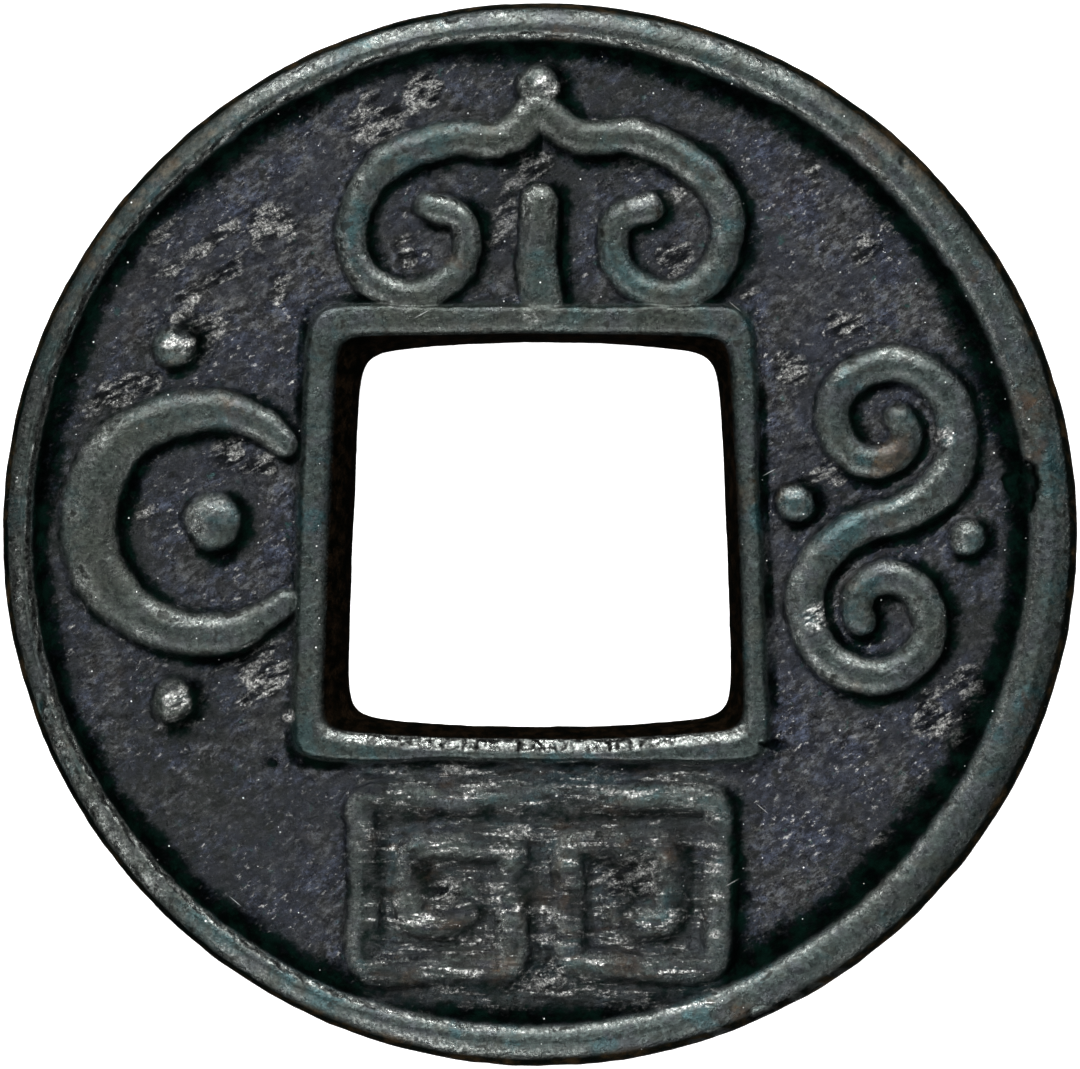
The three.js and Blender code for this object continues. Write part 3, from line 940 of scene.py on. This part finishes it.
class Nodes:
    """A short way to add and join shader nodes. Sizes of patches are in millimetres."""

    def __init__(self, material):
        material.use_nodes = True
        self.tree = material.node_tree
        self.shader = self.tree.nodes["Principled BSDF"]
        self.place = self.add("ShaderNodeTexCoord").outputs["Object"]

    def add(self, kind, **settings):
        node = self.tree.nodes.new(kind)
        for key, value in settings.items():
            setattr(node, key, value)
        return node

    def put(self, value, socket):
        if isinstance(value, bpy.types.NodeSocket):
            self.tree.links.new(value, socket)
        elif isinstance(value, tuple) and len(value) == 3:
            socket.default_value = (*value, 1)
        else:
            socket.default_value = value

    def noise(self, patch, detail=6.0, roughness=0.6, distortion=0.0, place=None):
        node = self.add("ShaderNodeTexNoise")
        self.put(place or self.place, node.inputs["Vector"])
        self.put(1 / (patch * MM), node.inputs["Scale"])
        self.put(detail, node.inputs["Detail"])
        self.put(roughness, node.inputs["Roughness"])
        self.put(distortion, node.inputs["Distortion"])
        return node.outputs["Fac"]

    def attribute(self, name):
        return self.add("ShaderNodeAttribute", attribute_name=name).outputs["Fac"]

    def span(self, value, low, high, to_low=0.0, to_high=1.0):
        """The value's place between low and high, as a smooth step between two results."""
        node = self.add("ShaderNodeMapRange", interpolation_type="SMOOTHSTEP")
        for name, number in (("From Min", low), ("From Max", high), ("To Min", to_low), ("To Max", to_high)):
            self.put(number, node.inputs[name])
        self.put(value, node.inputs["Value"])
        return node.outputs["Result"]

    def mix(self, share, a, b):
        node = self.add("ShaderNodeMix", data_type="RGBA")
        for name, value in (("Factor", share), ("A", a), ("B", b)):
            self.put(value, next(s for s in node.inputs if s.name == name and s.enabled))
        return next(s for s in node.outputs if s.enabled)

    def sum(self, operation, *values):
        total = values[0]
        for value in values[1:]:
            node = self.add("ShaderNodeMath", operation=operation)
            self.put(total, node.inputs[0])
            self.put(value, node.inputs[1])
            total = node.outputs["Value"]
        return total

    def stretched(self, turn, stretch):
        """The place turned about the coin's axis by an angle, with its patches made longer along it."""
        node = self.add("ShaderNodeMapping", vector_type="TEXTURE")
        self.put(self.place, node.inputs["Vector"])
        node.inputs["Rotation"].default_value = (0, 0, turn)
        node.inputs["Scale"].default_value = (stretch, 1, 1)
        return node.outputs["Vector"]

    def specks(self, spacing, size, share, turn=0, stretch=1):
        """Specks of a size in millimetres, in a share of the cells of a net seen from above."""
        node = self.add("ShaderNodeTexVoronoi", voronoi_dimensions="2D")
        self.put(self.stretched(turn, stretch), node.inputs["Vector"])
        self.put(1 / (spacing * MM), node.inputs["Scale"])
        parts = self.add("ShaderNodeSeparateColor")
        self.put(node.outputs["Color"], parts.inputs["Color"])
        chosen = self.sum("LESS_THAN", parts.outputs["Red"], share)
        near = self.span(node.outputs["Distance"], size / spacing, 0.5 * size / spacing)
        return self.sum("MULTIPLY", chosen, near)


STREAK_STRETCH = 1.8
GRAIN_DEPTH = 0.09


def deep_colour(n, navy):
    return n.mix(navy, (0.004, 0.004, 0.004), (0.002, 0.003, 0.008))


def field_colour(n, navy, darker_places):
    """Warm charcoal going to navy, in streaked grains with pale flecks that are painted glints, darker in
    places.
    """
    streaks = n.stretched(STREAK_TURN, STREAK_STRETCH)
    pale = n.mix(navy, (0.104, 0.109, 0.112), (0.056, 0.068, 0.102))
    grains = n.span(n.noise(0.26, 9, 0.85, 0, streaks), 0.45, 0.61)
    field = n.mix(grains, deep_colour(n, navy), pale)
    gloom = n.span(n.noise(0.9, 7, 0.72, 0, streaks), 0.53, 0.66, 0, 0.85)
    field = n.mix(gloom, field, (0.004, 0.005, 0.006))
    field = n.mix(n.span(n.noise(2.7, 6, 0.65), 0.45, 0.58, 0, 0.7), field, (0.010, 0.012, 0.018))
    field = n.mix(n.span(n.noise(0.45, 4, 0.6), 0.65, 0.71, 0, 0.6), field, (0.008, 0.050, 0.044))
    # Pale flecks are painted glints on the grain.
    glint_flecks = n.span(n.noise(0.17, 6, 0.75, 0, streaks), 0.57, 0.66)
    glint_flecks = n.sum("MULTIPLY", glint_flecks, n.span(n.noise(1.5, 5, 0.65), 0.45, 0.6, 0.2, 1))
    field = n.mix(n.sum("MULTIPLY", glint_flecks, 0.85), field, (0.46, 0.46, 0.44))
    darkening = n.sum("MULTIPLY", darker_places, n.span(n.noise(0.8, 8, 0.8), 0.41, 0.57, 0.1, 0.96))
    return n.mix(darkening, field, (0.005, 0.007, 0.006))


def raised_colour(n, darker_places):
    """Grey green, going violet grey, teal and olive in patches, with pits and pale specks."""
    grain = n.span(n.noise(0.2, 9, 0.84), 0.39, 0.63)
    top = n.mix(grain, (0.004, 0.009, 0.008), (0.043, 0.059, 0.055))
    violet = n.mix(grain, (0.007, 0.010, 0.012), (0.046, 0.051, 0.059))
    top = n.mix(n.span(n.noise(1.4, 6, 0.65), 0.48, 0.6, 0, 0.75), top, violet)
    teal = n.mix(grain, (0.003, 0.020, 0.023), (0.021, 0.065, 0.070))
    top = n.mix(n.span(n.noise(2.3, 6, 0.65, 0.5), 0.52, 0.62, 0, 0.8), top, teal)
    olive = n.mix(grain, (0.006, 0.008, 0.005), (0.030, 0.034, 0.024))
    top = n.mix(n.span(n.noise(1.0, 6, 0.7), 0.52, 0.64, 0, 0.6), top, olive)
    top = n.mix(n.sum("MULTIPLY", darker_places, 0.7), top, olive)
    top = n.mix(n.span(n.noise(0.16, 6, 0.78), 0.56, 0.66, 0, 0.8), top, (0.004, 0.006, 0.005))
    return n.mix(n.span(n.noise(0.13, 6, 0.8), 0.6, 0.7, 0, 0.7), top, (0.24, 0.26, 0.25))


def with_earth(n, colour, worn, earthy):
    """Earth brown and ochre in a few places of the raised metal and in the given patches."""
    anywhere = n.span(n.noise(3.6, 5, 0.6, 0.4), 0.6, 0.7, 0, 0.6)
    anywhere = n.sum("MULTIPLY", anywhere, n.span(worn, 0.2, 0.7, 0.25, 1))
    patches = n.sum("MULTIPLY", earthy, n.span(n.noise(0.35, 6, 0.7), 0.36, 0.56, 0, 0.9))
    ochre = n.span(n.noise(0.3, 6, 0.7), 0.5, 0.64)
    brown = n.mix(ochre, (0.030, 0.017, 0.008), (0.075, 0.045, 0.019))
    return n.mix(n.sum("MAXIMUM", anywhere, patches), colour, brown)


def with_bare_skin_and_glints(n, colour, facets, deep, mask):
    """Bright bare skin and painted glints in streaked clusters, with painted shade in their gaps, pale fresh
    nicks, and painted highlight on the ledges of the block.
    """
    crags = n.noise(0.34, 7, 0.7, 0, n.stretched(0.75 * STREAK_TURN, 3.2))
    cluster = n.span(mask["rough"], 0.16, 0.46)
    # Painted shade in the gaps between the glints.
    shaded_gaps = n.sum("MULTIPLY", n.span(crags, 0.5, 0.42), cluster, 0.9)
    colour = n.mix(shaded_gaps, colour, (0.002, 0.003, 0.004))
    silver_and_glints = n.sum("MULTIPLY", n.span(crags, 0.46, 0.57), cluster)
    nicks = n.sum("MULTIPLY", mask["fresh"], n.span(n.noise(0.25, 6, 0.75), 0.36, 0.5))
    level = n.stretched(0, 5)
    # Painted highlight on the upper faces of the block's ledges.
    ledges = n.span(n.noise(0.34, 7, 0.7, 0, level), 0.53, 0.6)
    ledges = n.sum("MULTIPLY", ledges, mask["block"], n.span(n.noise(0.14, 5, 0.75), 0.38, 0.6, 0.15, 0.9))
    silver_and_glints = n.sum("MAXIMUM", silver_and_glints, nicks, ledges)
    silver_and_glints = n.sum("MULTIPLY", silver_and_glints, n.span(mask["earth"], 0.1, 0.7, 1, 0.15))
    stain = n.sum("MULTIPLY", mask["block"], n.span(n.noise(0.5, 6, 0.7, 0, level), 0.47, 0.62, 0, 0.8))
    stain_colour = n.mix(n.span(n.noise(1.1, 4, 0.6), 0.55, 0.64), deep, (0.026, 0.015, 0.008))
    colour = n.mix(stain, colour, stain_colour)
    bare_and_glints = n.mix(facets, (0.075, 0.076, 0.074), (0.66, 0.67, 0.64))
    bare_and_glints = n.mix(n.span(n.noise(0.14, 4, 0.75), 0.55, 0.63), bare_and_glints, (0.98, 0.98, 0.95))
    nick_colour = n.mix(facets, (0.10, 0.14, 0.13), (0.86, 0.98, 0.93))
    return n.mix(silver_and_glints, colour, n.mix(mask["fresh"], bare_and_glints, nick_colour))


def with_pits(n, colour, block):
    """Small dark pits all over, and more and wider ones in the block."""
    pits = n.span(n.noise(0.5, 3, 0.5), 0.64, 0.69)
    wide = n.span(n.noise(0.42, 5, 0.6, 0, n.stretched(0, 2)), 0.6, 0.64)
    pits = n.sum("MAXIMUM", pits, n.sum("MULTIPLY", block, wide))
    return n.mix(n.sum("MULTIPLY", pits, 0.8), colour, (0.003, 0.004, 0.003))


def ragged_dirt_and_shade(n, hollow_dirt_and_shade):
    """Dirt and painted shade with a ragged edge, in every hollow."""
    ragged = n.sum("ADD", hollow_dirt_and_shade, n.span(n.noise(0.4, 7, 0.75), 0.3, 0.7, -0.26, 0.24))
    return n.sum("MULTIPLY", n.span(ragged, 0.05, 1.0), n.span(hollow_dirt_and_shade, 0.0, 0.25))


def with_dirt_and_shade(n, colour, dirt_and_shade, mask):
    """Painted shade by the feet, black green dirt and painted shade, the hole's dark brown wall and a rusty
    brim.
    """
    colour = n.mix(n.sum("MULTIPLY", mask["shade"], 0.5), colour, (0.004, 0.006, 0.006))
    dirt_and_shade_colour = n.mix(n.span(n.noise(0.8, 6, 0.7), 0.42, 0.64), (0.0003, 0.0008, 0.0007), (0.0015, 0.0080, 0.0056))
    # Black green dirt and painted shade at the feet of the slopes and strokes.
    colour = n.mix(n.sum("MULTIPLY", dirt_and_shade, 0.98), colour, dirt_and_shade_colour)
    brown = n.mix(n.span(n.noise(0.5, 7, 0.75), 0.42, 0.64), (0.0010, 0.0014, 0.0006), (0.013, 0.008, 0.0045))
    colour = n.mix(mask["wall"], colour, brown)
    # Rust brown on the brim, and painted shade at the shoulder's two shaded places.
    rust_and_shade = n.mix(n.span(n.noise(0.8, 7, 0.75), 0.46, 0.64), (0.006, 0.009, 0.007), (0.070, 0.044, 0.021))
    return n.mix(n.sum("MULTIPLY", mask["brim"], 0.85), colour, rust_and_shade)


def with_dust(n, colour, flat):
    """Specks of pale dust and hair-thin scratches on the two faces."""
    dust = n.sum("MAXIMUM", n.specks(1.3, 0.036, 0.12), n.specks(0.7, 0.022, 0.1))
    scratches = n.sum("MAXIMUM", n.specks(0.5, 0.02, 0.03, 0.5, 16), n.specks(0.6, 0.016, 0.03, -0.7, 20))
    dust = n.sum("MAXIMUM", dust, n.sum("MULTIPLY", scratches, 0.4))
    return n.mix(n.sum("MULTIPLY", dust, flat, 0.9), colour, (0.80, 0.82, 0.81))


def set_gloss(n, cover, rubbed_and_highlight, mask):
    """Roughness and metal: dirt and painted shade are rough, the patina is partly metal, and fresh nicks
    scatter light.
    """
    roughness = n.span(n.noise(0.5, 6, 0.7), 0.35, 0.65, 0.22, 0.38)
    rougher = n.sum("MULTIPLY", n.sum("MAXIMUM", cover, mask["brim"]), 0.35)
    n.put(n.sum("ADD", roughness, rougher), n.shader.inputs["Roughness"])
    metal = n.span(n.sum("MAXIMUM", cover, rubbed_and_highlight), 0, 0.7, 0.6, 1)
    n.put(n.sum("SUBTRACT", metal, n.sum("MULTIPLY", mask["fresh"], 0.6)), n.shader.inputs["Metallic"])


def set_grain(n, mask):
    """The cast skin's finest grain, as bump: weaker on worn metal and stronger where it stayed rough."""
    streaks = n.stretched(STREAK_TURN, STREAK_STRETCH)
    height = n.sum("MULTIPLY", n.noise(0.13, 5, 0.7), n.span(mask["rough"], 0, 0.6, 0.7, 2.6))
    height = n.sum("ADD", height, n.sum("MULTIPLY", n.noise(0.45, 6, 0.7, 0, streaks), 2.2))
    bump = n.add("ShaderNodeBump")
    n.put(n.span(mask["worn"], 0.7, 1.0, 1.0, 0.35), bump.inputs["Strength"])
    n.put(GRAIN_DEPTH * MM, bump.inputs["Distance"])
    n.put(height, bump.inputs["Height"])
    n.put(bump.outputs["Normal"], n.shader.inputs["Normal"])


MASKS = ("worn", "hollow_dirt_and_shade", "shade", "brim", "rough", "rub_and_highlight", "wall", "block", "fresh", "flat", "earth", "darker_places")


def patinated_bronze():
    material = bpy.data.materials.new("patinated_bronze")
    n = Nodes(material)
    mask = {name: n.attribute(name) for name in MASKS}
    navy = n.span(n.noise(1.5, 7, 0.7), 0.42, 0.58)
    facets = n.span(n.noise(0.12, 5, 0.8), 0.44, 0.62)
    rubbed_and_highlight = n.sum("MULTIPLY", mask["rub_and_highlight"], n.span(n.noise(0.16, 7, 0.78), 0.36, 0.6, 0.1, 1))
    dirt_and_shade = ragged_dirt_and_shade(n, mask["hollow_dirt_and_shade"])

    raised = n.sum("MAXIMUM", n.span(mask["worn"], 0.3, 0.85), n.sum("MULTIPLY", mask["block"], 0.55))
    colour = n.mix(raised, field_colour(n, navy, mask["darker_places"]), raised_colour(n, mask["darker_places"]))
    colour = with_earth(n, colour, mask["worn"], mask["earth"])
    # Rubbed metal made lighter, partly as painted highlight.
    colour = n.mix(rubbed_and_highlight, colour, n.mix(facets, (0.075, 0.08, 0.076), (0.38, 0.40, 0.38)))
    colour = with_bare_skin_and_glints(n, colour, facets, deep_colour(n, navy), mask)
    colour = with_pits(n, colour, mask["block"])
    colour = with_dirt_and_shade(n, colour, dirt_and_shade, mask)
    colour = with_dust(n, colour, mask["flat"])
    n.put(colour, n.shader.inputs["Base Color"])
    set_gloss(n, n.sum("MAXIMUM", dirt_and_shade, mask["wall"]), rubbed_and_highlight, mask)
    set_grain(n, mask)
    return material


def pale_floor():
    material = bpy.data.materials.new("pale_floor")
    n = Nodes(material)
    mottle = n.noise(400, 3)
    n.put(n.mix(mottle, (0.88, 0.88, 0.88), (0.92, 0.92, 0.92)), n.shader.inputs["Base Color"])
    n.put(1.0, n.shader.inputs["Roughness"])
    n.put((1.0, 1.0, 1.0), n.shader.inputs["Emission Color"])
    n.put(0.8, n.shader.inputs["Emission Strength"])
    return material


# Camera, lights and floor

PHOTO_WIDTH = 1080
COIN_SPAN_IN_PHOTO = 1076
CAMERA_DISTANCE = 0.42
WORLD_LIGHT = 0.02
FLOOR_SIDE = 3
FLOOR_GAP = 0.02


def set_camera():
    """A camera straight above the coin, which fills the frame as in the photograph."""
    scene = bpy.context.scene
    data = bpy.data.cameras.new("camera")
    camera = bpy.data.objects.new("camera", data)
    scene.collection.objects.link(camera)
    camera.location = (0, 0, CAMERA_DISTANCE)
    view_width = COIN_WIDTH * MM * PHOTO_WIDTH / COIN_SPAN_IN_PHOTO
    data.lens = data.sensor_width * (CAMERA_DISTANCE - RIM_THICKNESS / 2 * MM) / view_width
    data.clip_start, data.clip_end = 0.01, 10
    scene.camera = camera


def add_softbox(name, location, size, power):
    """A soft rectangular light that looks at the coin."""
    data = bpy.data.lights.new(name, "AREA")
    data.shape = "RECTANGLE"
    data.size, data.size_y = size
    data.energy = power
    light = bpy.data.objects.new(name, data)
    bpy.context.scene.collection.objects.link(light)
    light.location = location
    light.rotation_euler = light.location.to_track_quat("Z", "Y").to_euler()


def set_studio():
    scene = bpy.context.scene
    scene.view_settings.view_transform = "Standard"
    world = bpy.data.worlds.new("studio")
    world.use_nodes = True
    background = world.node_tree.nodes["Background"]
    background.inputs["Color"].default_value = (1, 1, 1, 1)
    background.inputs["Strength"].default_value = WORLD_LIGHT
    scene.world = world
    add_softbox("top_box", (-0.02, 0.24, 0.27), (0.30, 0.09), 2.5)
    add_softbox("bottom_box", (-0.05, -0.24, 0.27), (0.26, 0.09), 1.15)
    add_softbox("overhead_box", (0.05, 0.05, 0.60), (0.34, 0.34), 0.55)


def add_floor():
    """A pale floor, seen by the camera alone, so that it lights nothing and mirrors in nothing."""
    bpy.ops.mesh.primitive_plane_add(size=FLOOR_SIDE, location=(0, 0, -FLOOR_GAP * MM))
    floor = bpy.context.object
    floor.name = "floor"
    floor.data.materials.append(pale_floor())
    floor.visible_diffuse = False
    floor.visible_glossy = False


set_camera()
coin = build_casting()
coin.data.materials.append(patinated_bronze())
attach(coin, "root")
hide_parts(CASTING)
set_studio()
add_floor()
